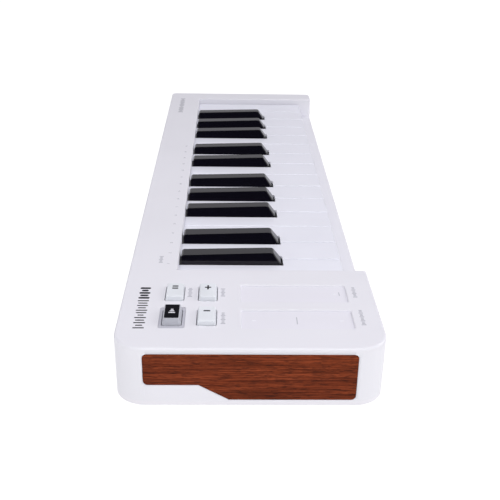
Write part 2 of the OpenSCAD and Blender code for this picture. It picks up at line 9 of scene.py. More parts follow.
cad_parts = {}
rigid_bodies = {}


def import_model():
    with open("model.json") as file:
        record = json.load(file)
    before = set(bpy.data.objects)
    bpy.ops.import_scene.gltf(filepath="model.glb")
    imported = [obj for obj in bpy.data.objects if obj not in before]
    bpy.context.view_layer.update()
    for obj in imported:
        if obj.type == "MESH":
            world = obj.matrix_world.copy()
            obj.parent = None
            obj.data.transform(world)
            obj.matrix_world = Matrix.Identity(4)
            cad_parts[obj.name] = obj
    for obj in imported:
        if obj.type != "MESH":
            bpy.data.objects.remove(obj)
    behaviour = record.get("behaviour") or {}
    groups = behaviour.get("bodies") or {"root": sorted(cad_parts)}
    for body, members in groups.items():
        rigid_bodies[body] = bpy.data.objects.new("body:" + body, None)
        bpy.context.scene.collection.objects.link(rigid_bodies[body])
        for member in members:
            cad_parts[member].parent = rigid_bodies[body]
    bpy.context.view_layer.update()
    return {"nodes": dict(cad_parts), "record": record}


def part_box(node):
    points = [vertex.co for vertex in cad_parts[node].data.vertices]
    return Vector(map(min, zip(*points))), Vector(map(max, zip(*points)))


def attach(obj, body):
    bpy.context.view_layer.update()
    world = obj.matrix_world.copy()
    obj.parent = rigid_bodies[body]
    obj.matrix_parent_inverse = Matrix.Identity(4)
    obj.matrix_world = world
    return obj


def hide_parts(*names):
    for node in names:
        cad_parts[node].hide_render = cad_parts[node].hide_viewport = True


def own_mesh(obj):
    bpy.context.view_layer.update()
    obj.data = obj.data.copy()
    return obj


for leftover in list(bpy.data.objects):
    bpy.data.objects.remove(leftover)
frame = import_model()

MM = 0.001
RECORD = frame["record"]
SLOT_OF = {part["node"]: part["material_slot"] for part in RECORD["subparts"]}
BODY_OF = {node: body for body, nodes in RECORD["behaviour"]["bodies"].items() for node in nodes}
WHITE_KEYS = sorted(node for node in SLOT_OF if node.startswith("white_key_"))
BLACK_KEYS = sorted(node for node in SLOT_OF if node.startswith("black_key_"))
BUTTONS = sorted(node for node in SLOT_OF if node.endswith("_button"))

CASE_LOW, CASE_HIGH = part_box("top_case")
DECK_Z = CASE_HIGH.z
WHITE_TOP_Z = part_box("white_key_c1")[1].z
LEDGE_DROP = 13.2 * MM
LEDGE_Z = DECK_Z - LEDGE_DROP
# The caps stop this far below the solid's top, so that their printing stays inside it
PRINT_ROOM = 0.06 * MM

# Places this close count as the same place, and corners this close are welded into one
TOUCHING = 1e-5
WELD = 1e-6
# Edges that bend more than this are sharp
SHARP_BEND = math.radians(28)
# Upright edges longer than this run along a corner and not across a thin rim
TALL_EDGE = 5 * MM


# =========================== node-material helpers ===========================
class Nodes:
    """A material's node tree, with short calls to add and join nodes."""

    def __init__(self, name):
        self.material = bpy.data.materials.new(name)
        self.material.use_nodes = True
        self.tree = self.material.node_tree
        self.shader = self.tree.nodes["Principled BSDF"]
        self.place = self.add("ShaderNodeTexCoord").outputs["Object"]

    def add(self, kind, **settings):
        node = self.tree.nodes.new(kind)
        for key, value in settings.items():
            setattr(node, key, value)
        return node

    def join(self, source, target):
        self.tree.links.new(source, target)

    def stretched(self, scale):
        mapping = self.add("ShaderNodeMapping")
        mapping.inputs["Scale"].default_value = scale
        self.join(self.place, mapping.inputs["Vector"])
        return mapping.outputs["Vector"]

    def noise(self, scale, detail=3.0, roughness=0.5, vector=None):
        node = self.add("ShaderNodeTexNoise")
        node.inputs["Scale"].default_value = scale
        node.inputs["Detail"].default_value = detail
        node.inputs["Roughness"].default_value = roughness
        self.join(vector or self.place, node.inputs["Vector"])
        return node.outputs["Fac"]

    def tones(self, source, first, second):
        """A noise's usual range, from 0.3 to 0.7, as a run from one colour to another."""
        return self.ramp(source, [(0.3, first), (0.7, second)])

    def ramp(self, source, stops):
        """Colours at positions from 0 to 1 along source; stops holds each position and colour."""
        node = self.add("ShaderNodeValToRGB")
        elements = node.color_ramp.elements
        while len(elements) < len(stops):
            elements.new(0.5)
        for element, (position, colour) in zip(elements, stops):
            element.position = position
            element.color = (*colour, 1.0)
        self.join(source, node.inputs["Fac"])
        return node.outputs["Color"]

    def span(self, source, low, high):
        """A noise's usual range, from 0.3 to 0.7, spread from low to high."""
        node = self.add("ShaderNodeMapRange")
        node.inputs["From Min"].default_value = 0.3
        node.inputs["From Max"].default_value = 0.7
        node.inputs["To Min"].default_value = low
        node.inputs["To Max"].default_value = high
        self.join(source, node.inputs["Value"])
        return node.outputs["Result"]

    def bump(self, height, depth_mm):
        node = self.add("ShaderNodeBump")
        node.inputs["Strength"].default_value = 1.0
        node.inputs["Distance"].default_value = depth_mm * MM
        self.join(height, node.inputs["Height"])
        self.join(node.outputs["Normal"], self.shader.inputs["Normal"])


def scaled(colour, factor):
    return tuple(min(channel * factor, 1.0) for channel in colour)


def moulded(name, colour, roughness, grain=2600.0, depth_mm=0.006, spread=0.05):
    """Moulded plastic: a fine spark-eroded grain, with slow drifts of tone and sheen."""
    n = Nodes(name)
    drift = n.noise(30.0, detail=2.0)
    tone = n.tones(drift, scaled(colour, 1 - spread), scaled(colour, 1 + spread))
    n.join(tone, n.shader.inputs["Base Color"])
    fine = n.noise(grain, detail=2.0)
    n.join(n.span(fine, roughness - 0.05, roughness + 0.05), n.shader.inputs["Roughness"])
    n.bump(fine, depth_mm)
    return n.material


def gloss_plastic(name, colour, roughness):
    """Polished plastic: nearly flat, with a long shallow ripple and faint handling haze."""
    n = Nodes(name)
    drift = n.noise(45.0, detail=2.0)
    tone = n.tones(drift, scaled(colour, 0.985), scaled(colour, 1.015))
    n.join(tone, n.shader.inputs["Base Color"])
    haze = n.noise(420.0, detail=2.0)
    n.join(n.span(haze, roughness - 0.02, roughness + 0.02), n.shader.inputs["Roughness"])
    ripple = n.noise(110.0, detail=1.0)
    n.bump(ripple, 0.002)
    return n.material


def soft_rubber(name, colour, roughness=0.55):
    """Soft-touch silicone: dull, with a powdery fine surface and a little sheen."""
    n = Nodes(name)
    drift = n.noise(90.0)
    tone = n.tones(drift, scaled(colour, 0.95), scaled(colour, 1.05))
    n.join(tone, n.shader.inputs["Base Color"])
    powder = n.noise(3600.0, roughness=0.6)
    n.join(n.span(powder, roughness - 0.06, roughness + 0.06), n.shader.inputs["Roughness"])
    n.shader.inputs["Sheen Weight"].default_value = 0.15
    n.shader.inputs["Sheen Roughness"].default_value = 0.4
    n.bump(powder, 0.008)
    return n.material


def metal(name, colour, roughness, along=(1.0, 1.0, 1.0)):
    """Drawn or turned steel, with fine lines running one way."""
    n = Nodes(name)
    n.shader.inputs["Metallic"].default_value = 1.0
    lines = n.noise(900.0, detail=4.0, roughness=0.6, vector=n.stretched(along))
    tone = n.tones(lines, scaled(colour, 0.85), scaled(colour, 1.1))
    n.join(tone, n.shader.inputs["Base Color"])
    n.join(n.span(lines, roughness - 0.08, roughness + 0.1), n.shader.inputs["Roughness"])
    n.bump(lines, 0.004)
    return n.material


def felt(name, colour):
    """Pressed felt: matted fibres with a soft edge sheen."""
    n = Nodes(name)
    fibres = n.noise(1500.0, detail=6.0, roughness=0.75)
    tone = n.tones(fibres, scaled(colour, 0.6), scaled(colour, 1.3))
    n.join(tone, n.shader.inputs["Base Color"])
    n.shader.inputs["Roughness"].default_value = 0.95
    n.shader.inputs["Sheen Weight"].default_value = 0.6
    n.bump(fibres, 0.12)
    return n.material


def circuit_board(name, colour):
    """Solder mask over copper: a green board with faint tracks."""
    n = Nodes(name)
    tracks = n.add("ShaderNodeTexBrick")
    tracks.inputs["Scale"].default_value = 260.0
    tracks.inputs["Mortar Size"].default_value = 0.06
    tracks.inputs["Color1"].default_value = (*scaled(colour, 0.9), 1.0)
    tracks.inputs["Color2"].default_value = (*scaled(colour, 1.15), 1.0)
    tracks.inputs["Mortar"].default_value = (*scaled(colour, 1.9), 1.0)
    n.join(n.place, tracks.inputs["Vector"])
    n.join(tracks.outputs["Color"], n.shader.inputs["Base Color"])
    sheen = n.noise(700.0)
    n.join(n.span(sheen, 0.28, 0.42), n.shader.inputs["Roughness"])
    n.bump(tracks.outputs["Fac"], 0.03)
    return n.material


def oiled_wood(name):
    """Reddish hardwood: fine straight grain along Y, with short dark pores and slow figure."""
    n = Nodes(name)
    n.shader.inputs["Specular IOR Level"].default_value = 0.1
    figure = n.noise(40.0, vector=n.stretched((0.6, 0.4, 2.6)))
    grain = n.noise(2600.0, roughness=0.6, vector=n.stretched((1.0, 0.016, 1.0)))
    pores = n.noise(3400.0, detail=2.0, roughness=0.6, vector=n.stretched((1.0, 0.085, 1.0)))
    base = n.ramp(grain, [(0.34, (0.090, 0.014, 0.003)), (0.47, (0.145, 0.025, 0.006)),
                          (0.56, (0.200, 0.037, 0.010)), (0.68, (0.270, 0.054, 0.017))])
    wash = n.tones(figure, (0.88, 0.86, 0.86), (1.08, 1.10, 1.10))
    fleck = n.ramp(pores, [(0.38, (0.46, 0.43, 0.43)), (0.50, (0.98, 0.96, 0.96)),
                           (0.66, (1.14, 1.10, 1.10))])
    tint = multiply(n, base, wash)
    n.join(multiply(n, tint, fleck), n.shader.inputs["Base Color"])
    n.join(n.span(grain, 0.62, 0.48), n.shader.inputs["Roughness"])
    n.bump(pores, 0.03)
    return n.material


def multiply(n, first, second):
    node = n.add("ShaderNodeMix", data_type="RGBA", blend_type="MULTIPLY")
    node.inputs["Factor"].default_value = 1.0
    n.join(first, node.inputs["A"])
    n.join(second, node.inputs["B"])
    return node.outputs["Result"]


def ink(name, colour):
    """Pad-printed ink: flat, slightly broken where it sits on the grain."""
    n = Nodes(name)
    speck = n.noise(5200.0, detail=2.0)
    tone = n.tones(speck, scaled(colour, 0.85), scaled(colour, 1.12))
    n.join(tone, n.shader.inputs["Base Color"])
    n.join(n.span(speck, 0.75, 0.9), n.shader.inputs["Roughness"])
    n.shader.inputs["Specular IOR Level"].default_value = 0.1
    n.bump(speck, 0.003)
    return n.material


MATERIALS = {
    "case_plastic": moulded("case_plastic", (0.77, 0.765, 0.815), 0.46, spread=0.012),
    "base_plastic": moulded("base_plastic", (0.79, 0.775, 0.825), 0.5, spread=0.012),
    "wood": oiled_wood("wood"),
    "foot_rubber": soft_rubber("foot_rubber", (0.02, 0.02, 0.022), 0.8),
    "frame_plastic": moulded("frame_plastic", (0.10, 0.10, 0.11), 0.6),
    "steel": metal("steel", (0.62, 0.62, 0.64), 0.32, along=(0.05, 1.0, 1.0)),
    "dark_steel": metal("dark_steel", (0.06, 0.06, 0.065), 0.45),
    "felt": felt("felt", (0.30, 0.02, 0.02)),
    "circuit_board": circuit_board("circuit_board", (0.015, 0.11, 0.045)),
    "silicone": soft_rubber("silicone", (0.55, 0.55, 0.57)),
    "strip_plastic": moulded("strip_plastic", (0.77, 0.76, 0.825), 0.4, grain=3200.0, depth_mm=0.003,
                             spread=0.01),
    "bezel_plastic": moulded("bezel_plastic", (0.50, 0.50, 0.56), 0.45, spread=0.02),
    "lamp_plastic": gloss_plastic("lamp_plastic", (0.80, 0.80, 0.70), 0.15),
    "chip_plastic": moulded("chip_plastic", (0.015, 0.015, 0.016), 0.5),
    "connector_plastic": moulded("connector_plastic", (0.70, 0.68, 0.60), 0.5),
    "jack_plastic": moulded("jack_plastic", (0.016, 0.016, 0.018), 0.42),
    "ribbon_plastic": moulded("ribbon_plastic", (0.50, 0.50, 0.51), 0.45),
    "white_key_plastic": gloss_plastic("white_key_plastic", (0.80, 0.805, 0.88), 0.3),
    "black_key_plastic": gloss_plastic("black_key_plastic", (0.003, 0.0025, 0.006), 0.08),
    "button_plastic": soft_rubber("button_plastic", (0.735, 0.76, 0.80)),
    "shift_plastic": soft_rubber("shift_plastic", (0.49, 0.50, 0.55)),
}
INK_BLACK = ink("ink_black", (0.004, 0.004, 0.007))
INK_DARK = ink("ink_dark", (0.03, 0.03, 0.035))
INK_GREY = ink("ink_grey", (0.30, 0.30, 0.34))
INK_SOFT = ink("ink_soft", (0.42, 0.42, 0.47))
INK_FAINT = ink("ink_faint", (0.52, 0.52, 0.57))
INK_PALE = ink("ink_pale", (0.84, 0.84, 0.90))


# =========================== mesh helpers ===========================
def cad_mesh(node):
    """A fresh mesh of a CAD node, with its flat faces whole again instead of triangles."""
    mesh = bmesh.new()
    mesh.from_mesh(frame["nodes"][node].data)
    bmesh.ops.remove_doubles(mesh, verts=mesh.verts, dist=WELD)
    flat = math.radians(0.4)
    bmesh.ops.dissolve_limit(mesh, angle_limit=flat, verts=mesh.verts, edges=mesh.edges)
    return mesh


def round_edges(mesh, wanted, radius, segments):
    """Rounds the sharp edges for which wanted(its middle, the edge) is true."""
    edges = []
    for edge in mesh.edges:
        if len(edge.link_faces) != 2 or edge.calc_face_angle(0.0) < SHARP_BEND:
            continue
        if wanted((edge.verts[0].co + edge.verts[1].co) / 2, edge):
            edges.append(edge)
    bmesh.ops.bevel(mesh, geom=edges, offset=radius, offset_type="OFFSET", segments=segments,
                    profile=0.5, affect="EDGES", clamp_overlap=False, loop_slide=False)


def at_level(edge, z):
    return all(abs(vert.co.z - z) < TOUCHING for vert in edge.verts)


def is_upright(edge):
    return abs(edge.verts[0].co.z - edge.verts[1].co.z) > TALL_EDGE


def piece(name, mesh, material, body, slot, *nodes):
    """A finished object from a mesh, which it uses up, riding on a body and standing for CAD nodes."""
    data = bpy.data.meshes.new(name)
    bmesh.ops.recalc_face_normals(mesh, faces=mesh.faces)
    mesh.to_mesh(data)
    mesh.free()
    data.shade_smooth()
    data.set_sharp_from_angle(angle=math.radians(32))
    data.materials.append(material)
    made = bpy.data.objects.new(name, data)
    bpy.context.scene.collection.objects.link(made)
    weighted = made.modifiers.new("weighted", "WEIGHTED_NORMAL")
    weighted.keep_sharp = True
    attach(made, body)
    if nodes:
        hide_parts(*nodes)
    return made


def loft(rings):
    """A closed mesh through rings of equally many points, with a flat cap at each end."""
    mesh = bmesh.new()
    made = [[mesh.verts.new(point) for point in ring] for ring in rings]
    count = len(rings[0])
    for lower, upper in zip(made, made[1:]):
        for i in range(count):
            j = (i + 1) % count
            mesh.faces.new((lower[i], lower[j], upper[j], upper[i]))
    mesh.faces.new(list(reversed(made[0])))
    mesh.faces.new(made[-1])
    return mesh


def rounded_ring(centre, length, width, radius, z, per_corner=10):
    """Points of a rounded rectangle at height z, anticlockwise."""
    shortest_side = 2e-7
    radius = min(radius, (length - shortest_side) / 2, (width - shortest_side) / 2)
    ring = []
    for quarter, (sx, sy) in enumerate([(1, 1), (-1, 1), (-1, -1), (1, -1)]):
        cx = centre[0] + sx * (length / 2 - radius)
        cy = centre[1] + sy * (width / 2 - radius)
        for i in range(per_corner):
            angle = math.radians(90 * (quarter + i / (per_corner - 1)))
            ring.append(Vector((cx + radius * math.cos(angle), cy + radius * math.sin(angle), z)))
    return ring


def joined(meshes):
    """One mesh that holds several, which it uses up."""
    whole = bmesh.new()
    for mesh in meshes:
        part = bpy.data.meshes.new("part")
        mesh.to_mesh(part)
        mesh.free()
        whole.from_mesh(part)
        bpy.data.meshes.remove(part)
    return whole


def loose_parts(mesh):
    """The separate bodies of a mesh, each as its own mesh, left to right."""
    waiting = set(range(len(mesh.verts)))
    mesh.verts.ensure_lookup_table()
    parts = []
    while waiting:
        reached = {waiting.pop()}
        to_visit = list(reached)
        while to_visit:
            vert = mesh.verts[to_visit.pop()]
            found = {edge.other_vert(vert).index for edge in vert.link_edges} - reached
            reached |= found
            to_visit += found
        waiting -= reached
        part = mesh.copy()
        extra = [vert for vert in part.verts if vert.index not in reached]
        bmesh.ops.delete(part, geom=extra, context="VERTS")
        parts.append(part)
    mesh.free()
    return sorted(parts, key=lambda part: min(vert.co.x for vert in part.verts))


def middle(low, high):
    return (low + high) / 2


# =========================== case ===========================
def build_top_case():
    """The top shell, softly rounded outside, round the key well and round the strips' recesses."""
    mesh = cad_mesh("top_case")
    well_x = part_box("white_key_c1")[0].x
    margin = 8 * MM
    strips_rear_y = 5 * MM

    def in_panel(point):
        return (CASE_LOW.x + margin < point.x < well_x - margin
                and CASE_LOW.y + margin < point.y < CASE_HIGH.y - margin)

    def on_front(point):
        return point.y < CASE_LOW.y + TOUCHING

    def strip_rim(point, edge):
        return at_level(edge, DECK_Z) and in_panel(point) and point.y < strips_rear_y

    def outer_or_well(point, edge):
        if at_level(edge, DECK_Z):
            return not in_panel(point)
        if at_level(edge, LEDGE_Z):
            return on_front(point)
        return is_upright(edge) and on_front(point) and point.z > LEDGE_Z

    round_edges(mesh, outer_or_well, radius=0.9 * MM, segments=4)
    round_edges(mesh, strip_rim, radius=0.65 * MM, segments=4)
    return piece("case_top", mesh, MATERIALS["case_plastic"], "case", "case_plastic", "top_case")


def build_wood(node):
    """An inlay with the rim of its outer face eased."""
    mesh = cad_mesh(node)
    low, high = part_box(node)
    outer_x = low.x if low.x < 0 else high.x

    def face_rim(point, edge):
        return all(abs(vert.co.x - outer_x) < TOUCHING for vert in edge.verts)

    round_edges(mesh, face_rim, radius=0.2 * MM, segments=2)
    return piece(node + "_veneer", mesh, MATERIALS["wood"], "case", "wood", node)


# =========================== keys ===========================
# Black keys are in millimetres: y as in the frame, heights above the tops of the white keys
# Where the lofted crest begins
BLACK_FOOT = -0.05
# The flanks: half width at their foot, that foot's depth, and their rise for each step inward
FLANK_FOOT = 4.55
FLANK_FOOT_DEPTH = 0.3
FLANK_STEEPNESS = 3
# The sloping nose: its front and plan radius, where its slope starts, and how far and low it runs
NOSE_FRONT = -15.4
NOSE_CORNER = 1.3
NOSE_TOP_Y = -12.4
NOSE_TOP_HEIGHT = 4.2
NOSE_RUN = 2.9
NOSE_FOOT_HEIGHT = 0.3
# The long top: its height where it meets the nose, and its fall over its run to the rear
CREST_FRONT_Y = -11.8
CREST_HEIGHT = 5.4
CREST_FALL = 1.2
CREST_RUN = 40.7


def beside_black(point):
    """Whether a point lies on the notch that a black key stands in."""
    around = 1 * MM
    for low, high in map(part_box, BLACK_KEYS):
        if low.x - around < point.x < high.x + around:
            return point.y > low.y - around
    return False


def build_white_key(node):
    """A white key with rounded rims, tighter where it passes a black key."""
    mesh = cad_mesh(node)
    low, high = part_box(node)

    def top_rim(point, edge):
        return at_level(edge, WHITE_TOP_Z) and not beside_black(point)

    def notch_rim(point, edge):
        return at_level(edge, WHITE_TOP_Z) and beside_black(point)

    def front_corner(point, edge):
        return is_upright(edge) and abs(point.y - low.y) < TOUCHING and point.z > LEDGE_Z

    round_edges(mesh, front_corner, radius=0.4 * MM, segments=3)
    round_edges(mesh, top_rim, radius=0.45 * MM, segments=3)
    round_edges(mesh, notch_rim, radius=0.12 * MM, segments=2)
    return piece(node + "_body", mesh, MATERIALS["white_key_plastic"], BODY_OF[node],
                 "white_key_plastic", node)


def flank(height):
    """Half the width of a black key at a height."""
    return FLANK_FOOT - (height + FLANK_FOOT_DEPTH) / FLANK_STEEPNESS


def nose_inset(y):
    """How far the nose's corners, rounded in plan, stand in from the flanks at y."""
    into_corner = max(0.0, NOSE_FRONT + NOSE_CORNER - y)
    return NOSE_CORNER - math.sqrt(max(0.0, NOSE_CORNER ** 2 - into_corner ** 2))


def black_ring(x, y, height, side_cut, top_cut):
    """Cross-section of a black key at y, its top corners cut back along the side and the top."""
    inset = Vector((nose_inset(y), 0.0))
    corner = Vector((flank(height), height)) - inset
    low = Vector((flank(height - side_cut), height - side_cut)) - inset
    inner = Vector((corner.x - top_cut, height))
    bend = []
    for t in (0.0, 0.25, 0.5, 0.75, 1.0):
        bend.append(low * (1 - t) ** 2 + corner * 2 * t * (1 - t) + inner * t ** 2)
    half = [Vector((flank(BLACK_FOOT), BLACK_FOOT)) - inset] + bend
    outline = half + [Vector((-point.x, point.y)) for point in reversed(half)]
    return [Vector((x + point.x * MM, y * MM, WHITE_TOP_Z + point.y * MM)) for point in outline]


def black_crest():
    """Stations along a black key, rear to front: y, height, side cut and top cut."""
    stations = [(29.8, 3.2, 0.2, 0.2), (29.78, 3.4, 0.2, 0.2), (29.0, 4.15, 0.18, 0.18)]
    for y in (28.7, 20, 10, 0, -7, -10):
        stations.append((y, CREST_HEIGHT - (y - CREST_FRONT_Y) * CREST_FALL / CREST_RUN, 0.15, 0.15))
    stations += [(-10.9, 5.33, 0.2, 0.2), (-11.4, 5.2, 0.3, 0.35), (-11.9, 4.85, 0.45, 0.6)]
    steps = 8
    for i in range(steps + 1):
        along = i / steps
        height = NOSE_TOP_HEIGHT + (NOSE_FOOT_HEIGHT - NOSE_TOP_HEIGHT) * along
        side_cut = min(0.9, height - 0.05)
        stations.append((NOSE_TOP_Y - NOSE_RUN * along, height, side_cut, 0.8 + 0.5 * along))
    stations.append((NOSE_FRONT, 0.12, 0.1, 1.3))
    return stations


def build_black_key(node):
    """A black key: its solid below the white keys' tops, and a lofted crest above them."""
    low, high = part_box(node)
    mesh = cad_mesh(node)
    whole = list(mesh.verts) + list(mesh.edges) + list(mesh.faces)
    bmesh.ops.bisect_plane(mesh, geom=whole, plane_co=(0, 0, WHITE_TOP_Z + BLACK_FOOT * MM),
                           plane_no=(0, 0, 1), clear_outer=True)
    x = (low.x + high.x) / 2
    crest = loft([black_ring(x, *station) for station in black_crest()])
    return piece(node + "_body", joined([mesh, crest]), MATERIALS["black_key_plastic"], BODY_OF[node],
                 "black_key_plastic", node)


# =========================== springs and domes ===========================
DOME_SHEET = 0.8 * MM
# A dome's foot and head radius, in millimetres
KEY_DOME = (2.6, 1.7)
CAP_DOME = (2.8, 2.0)


def squashed(made):
    """Gives a round piece that stands on base under its key or cap a mesh of its own."""
    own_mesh(made)


def build_springs(keys):
    """One spring for each key, left to right; returns each one's x."""
    parts = loose_parts(cad_mesh("key_springs"))
    centres = []
    for key, part in zip(keys, parts):
        xs = [vert.co.x for vert in part.verts]
        x = (min(xs) + max(xs)) / 2
        spring = piece(key + "_spring", part, MATERIALS["steel"], "case", "steel", "key_springs")
        squashed(spring)
        centres.append(x)
    return centres


def build_domes(node, places, foot, head):
    """A silicone sheet with a dome for each key or cap; places holds each one's node, x and y."""
    low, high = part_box(node)
    centre = middle(low, high)
    size = high - low
    sheet_z = low.z + DOME_SHEET
    sheet = loft([rounded_ring(centre, size.x, size.y, 0.5 * MM, z) for z in (low.z, sheet_z)])
    piece(node + "_sheet", sheet, MATERIALS["silicone"], "case", "silicone", node)
    height = high.z - sheet_z
    profile = ((0.0, foot), (0.1, foot - 0.3), (0.85, head + 0.1), (1.0, head - 0.3))
    for above, x, y in places:
        rings = []
        for share, radius in profile:
            width = 2 * radius * MM
            rings.append(rounded_ring((x, y), width, width, width, sheet_z + share * height))
        dome = piece(above + "_dome", loft(rings), MATERIALS["silicone"], "case", "silicone", node)
        squashed(dome)


def build_springs_and_domes():
    keys = sorted(WHITE_KEYS + BLACK_KEYS, key=lambda key: middle(*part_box(key)).x)
    dome_y = middle(*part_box("contact_domes")).y
    places = [(key, x, dome_y) for key, x in zip(keys, build_springs(keys))]
    build_domes("contact_domes", places, *KEY_DOME)
    caps = [(cap, middle(*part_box(cap)).x, middle(*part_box(cap)).y) for cap in BUTTONS]
    build_domes("button_domes", caps, *CAP_DOME)


# =========================== left panel ===========================
def build_button(node):
    """A cap with leaning sides and a flat top, on the flange and stem under the deck."""
    low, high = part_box(node)
    centre = middle(low, high)
    is_tall = node == "shift_button"
    length = 12 * MM
    width = 7.4 * MM
    corner = 0.8 * MM
    lean = (0.65 if is_tall else 0.45) * MM
    shoulder = (0.1 if is_tall else 0.3) * MM
    top = high.z - PRINT_ROOM
    flange_top = DECK_Z - 2.22 * MM
    flange_low = flange_top - 1.3 * MM
    rim = 0.9 * MM
    flange_length = length + 2 * rim
    flange_width = width + 2 * rim
    flange_corner = 1.5 * MM
    stem = 2 * MM
    rings = [rounded_ring(centre, 2 * stem, 2 * stem, stem, low.z),
             rounded_ring(centre, 2 * stem, 2 * stem, stem, flange_low),
             rounded_ring(centre, flange_length, flange_width, flange_corner, flange_low),
             rounded_ring(centre, flange_length, flange_width, flange_corner, flange_top),
             rounded_ring(centre, length, width, corner, flange_top),
             rounded_ring(centre, length, width, corner, DECK_Z)]
    # The leaning side stays a little wider until its shoulder begins
    side_spare = 0.1 * MM
    for turn in (0, 22.5, 45, 67.5, 90):
        angle = math.radians(turn)
        inset = lean + shoulder * (1 - math.cos(angle)) - (side_spare if turn == 0 else 0.0)
        z = top - shoulder + shoulder * math.sin(angle)
        rings.append(rounded_ring(centre, length - 2 * inset, width - 2 * inset, corner, z))
    slot = SLOT_OF[node]
    return piece(node + "_cap", loft(rings), MATERIALS[slot], BODY_OF[node], slot, node)


def build_strip(node):
    """A touch strip, grown to meet the walls of its recess."""
    mesh = cad_mesh(node)
    low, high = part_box(node)
    centre = middle(low, high)
    play = 0.1 * MM
    for vert in mesh.verts:
        vert.co.x += math.copysign(play, vert.co.x - centre.x)
        vert.co.y += math.copysign(play, vert.co.y - centre.y)
    return piece(node + "_face", mesh, MATERIALS["strip_plastic"], "case", "strip_plastic", node)


# =========================== printing ===========================
# Printed places are in millimetres: x from the case's left end, y from its middle
# Captions as rows of bars: name, x of the first bar, number of bars, y
CAPTIONS = (("numbers", 69.5, 7, 38.4), ("hold", 38.7, 8, 24.2), ("up", 39.3, 7, 10.7),
            ("down", 17.5, 9, 10.5), ("left_strip", 17.0, 12, -43.9), ("right_strip", 39.0, 9, -43.5))
# Marks on the strips: node, y and x span of the line, y of each dash
STRIP_MARKS = (("left_touch_strip", -18.3, (18.6, 24.1), (-1.5, -35.8)),
               ("right_touch_strip", -37.3, (41.4, 44.5), (-35.4,)))
NUMBER_START = 68.7
NUMBER_STEP = 10.74
NUMBER_ROW = 34.4
NUMBER_HEIGHT = 1.7
WAVE_ROW = 42.7


def bar_mesh(x_span, y_span, level, radius):
    """One flat bar, its underside sunk a hair into the surface it is printed on."""
    centre = (CASE_LOW.x + sum(x_span) / 2 * MM, sum(y_span) / 2 * MM)
    length = (x_span[1] - x_span[0]) * MM
    width = (y_span[1] - y_span[0]) * MM
    return loft([rounded_ring(centre, length, width, radius * MM, level + lift * MM, 5)
                 for lift in (-0.01, 0.02)])


def print_bars(name, bars, material, level, rides, radius=0.2):
    """Flat bars in one ink; bars holds each one's x span and y span, rides is their body and slot."""
    mesh = joined([bar_mesh(x_span, y_span, level, radius) for x_span, y_span in bars])
    return piece(name, mesh, material, *rides)


def print_wave(name, x0, step, width, swings, middle_y, material):
    """A row of upright bars like a sound's envelope; swings holds each bar's half height."""
    starts = [x0 + i * step for i in range(len(swings))]
    bars = [((x, x + width), (middle_y - swing, middle_y + swing)) for x, swing in zip(starts, swings)]
    return print_bars(name, bars, material, DECK_Z, ("case", "case_plastic"), width / 2)


def number_mesh(value, x):
    """A plain small number that reads from the keys' side."""
    curve = bpy.data.curves.new(f"number_{value}", "FONT")
    curve.body = str(value)
    curve.size = NUMBER_HEIGHT * MM
    curve.align_x = "CENTER"
    curve.extrude = 0.01 * MM
    text = bpy.data.objects.new(f"number_{value}", curve)
    mesh = bmesh.new()
    mesh.from_mesh(bpy.data.meshes.new_from_object(text))
    bpy.data.objects.remove(text)
    place = (CASE_LOW.x + x * MM, NUMBER_ROW * MM, DECK_Z + 0.01 * MM)
    bmesh.ops.translate(mesh, verts=mesh.verts, vec=place)
    return mesh


def build_deck_prints():
    """Bars in place of the names and captions, and plain numbers behind the keys."""
    thin = [2.2, 1.4, 2.3, 1.8, 2.3, 1.2, 2.1, 2.3, 1.6, 2.2, 1.9, 2.3]
    bold = [2.3, 1.7, 2.3, 1.4, 2.2]
    far = [1.7, 1.1, 1.8, 1.4, 1.8, 0.9, 1.6, 1.8, 1.2, 1.7, 1.5, 1.8, 1.1, 1.7]
    print_wave("print_wave_thin", 14.0, 1.9, 0.75, thin, WAVE_ROW, INK_DARK)
    print_wave("print_wave_bold", 37.0, 2.05, 1.4, bold, WAVE_ROW, INK_DARK)
    print_wave("print_wave_far", 304.0, 2.6, 1.1, far, WAVE_ROW, INK_GREY)
    numbers = [number_mesh(value, NUMBER_START + NUMBER_STEP * (value - 1)) for value in range(1, 17)]
    piece("print_numbers", joined(numbers), INK_GREY, "case", "case_plastic")
    for name, x0, count, y in CAPTIONS:
        swings = [0.95 if i % 3 == 0 else 0.65 for i in range(count)]
        print_wave("print_caption_" + name, x0, 1.0, 0.5, swings, y, INK_SOFT)


def build_strip_prints():
    """A faint line and a pale dash or two on each strip."""
    for node, line_y, line_x, dashes_y in STRIP_MARKS:
        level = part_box(node)[1].z
        rides = ("case", "strip_plastic")
        line = (line_x, (line_y - 0.2, line_y + 0.2))
        print_bars(node + "_line", [line], INK_FAINT, level, rides)
        x = sum(line_x) / 2
        dashes = [((x - 0.4, x + 0.4), (y - 0.8, y + 0.8)) for y in dashes_y]
        print_bars(node + "_dashes", dashes, INK_PALE, level, rides)


